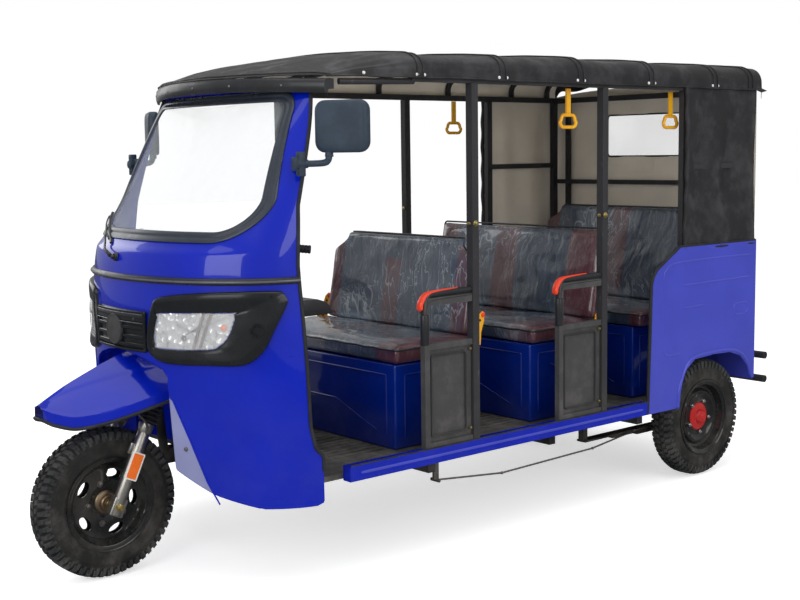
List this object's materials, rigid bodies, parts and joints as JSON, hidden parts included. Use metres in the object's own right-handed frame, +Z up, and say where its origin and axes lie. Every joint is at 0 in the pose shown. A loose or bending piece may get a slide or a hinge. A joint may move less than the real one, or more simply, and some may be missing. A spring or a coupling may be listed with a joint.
{
  "type": "auto rickshaw",
  "caption": "Open-sided passenger tricycle with rounded nose, black hooped canopy, bench rows and a raked front fork.",
  "frame": {"origin": "on the ground under the middle of the vehicle's length and width", "axes": "+Z up, the front wheel points along -Y, the vehicle's left side is +X"},
  "size_m": [1.4642, 3.46, 1.872],
  "materials": {
    "blue_paint": "gloss blue enamel",
    "dark_frame": "satin charcoal enamel",
    "black_trim": "grained black moulding",
    "dark_rubber": "matt black rubber",
    "tyre_rubber": "block tread",
    "canopy_vinyl": "coated black vinyl",
    "screen_glass": "clear",
    "window_film": "clear flexible film",
    "lamp_lens": "clear lens over a faceted reflector",
    "red_lens": "red lens",
    "seat_vinyl": "slate vinyl under clear wrapping film",
    "box_paint": "gloss dark blue enamel",
    "floor_mat": "ribbed dark mat",
    "yellow_plastic": "yellow moulding",
    "orange_plastic": "orange-red moulding",
    "fork_alloy": "satin silver",
    "bare_steel": "dull steel",
    "cast_housing": "dark cast housing",
    "mirror_shell": "dark blue-grey moulding",
    "rim_enamel": "gloss black enamel"
  },
  "bodies": {
    "chassis": {"chassis_frame": "dark_frame", "floor_pan": "floor_mat", "side_sills": "blue_paint", "front_bulkhead": "dark_frame", "dashboard": "black_trim", "nose_shell": "blue_paint", "windscreen_cowl": "blue_paint", "windscreen": "screen_glass", "windscreen_seal": "dark_rubber", "front_grille": "black_trim", "lamp_bezels": "black_trim", "headlamps": "lamp_lens", "mirrors": "mirror_shell", "wiper": "black_trim", "side_frames": "dark_frame", "roof_frame": "dark_frame", "rear_wall_frame": "dark_frame", "roof_visor": "black_trim", "canopy_roof": "canopy_vinyl", "side_curtains": "canopy_vinyl", "rear_curtain": "canopy_vinyl", "rear_window": "window_film", "side_guards": "dark_frame", "armrest_pads": "orange_plastic", "seat_boxes": "box_paint", "cushion_front": "seat_vinyl", "cushion_middle": "seat_vinyl", "cushion_rear": "seat_vinyl", "backrest_front": "seat_vinyl", "backrest_middle": "seat_vinyl", "backrest_rear": "seat_vinyl", "seat_brackets": "yellow_plastic", "hand_grips": "yellow_plastic", "quarter_panels": "blue_paint", "tail_panel": "blue_paint", "tail_lamps": "red_lens", "rear_axle": "dark_frame", "drive_motor": "cast_housing", "rear_bumper": "dark_frame", "brake_linkage": "bare_steel"},
    "steering": {"fork": "fork_alloy", "front_fender": "blue_paint", "handlebar": "black_trim"},
    "front_wheel": {"front_tyre": "tyre_rubber", "front_rim": "rim_enamel"},
    "rear_wheel_left": {"rear_tyre_left": "tyre_rubber", "rear_rim_left": "rim_enamel"},
    "rear_wheel_right": {"rear_tyre_right": "tyre_rubber", "rear_rim_right": "rim_enamel"}
  },
  "joints": [
    {"name": "steering", "type": "hinge", "parent": "chassis", "child": "steering", "pos_m": [0, -1.465, 0.265], "axis": [0, 0.4226, 0.9063], "range_deg": [-35, 35]},
    {"name": "front_wheel_spin", "type": "hinge", "parent": "steering", "child": "front_wheel", "pos_m": [0, -1.465, 0.265], "axis": [1, 0, 0], "continuous": true},
    {"name": "rear_wheel_left_spin", "type": "hinge", "parent": "chassis", "child": "rear_wheel_left", "pos_m": [0.555, 1.2, 0.265], "axis": [1, 0, 0], "continuous": true},
    {"name": "rear_wheel_right_spin", "type": "hinge", "parent": "chassis", "child": "rear_wheel_right", "pos_m": [-0.555, 1.2, 0.265], "axis": [1, 0, 0], "continuous": true}
  ]
}
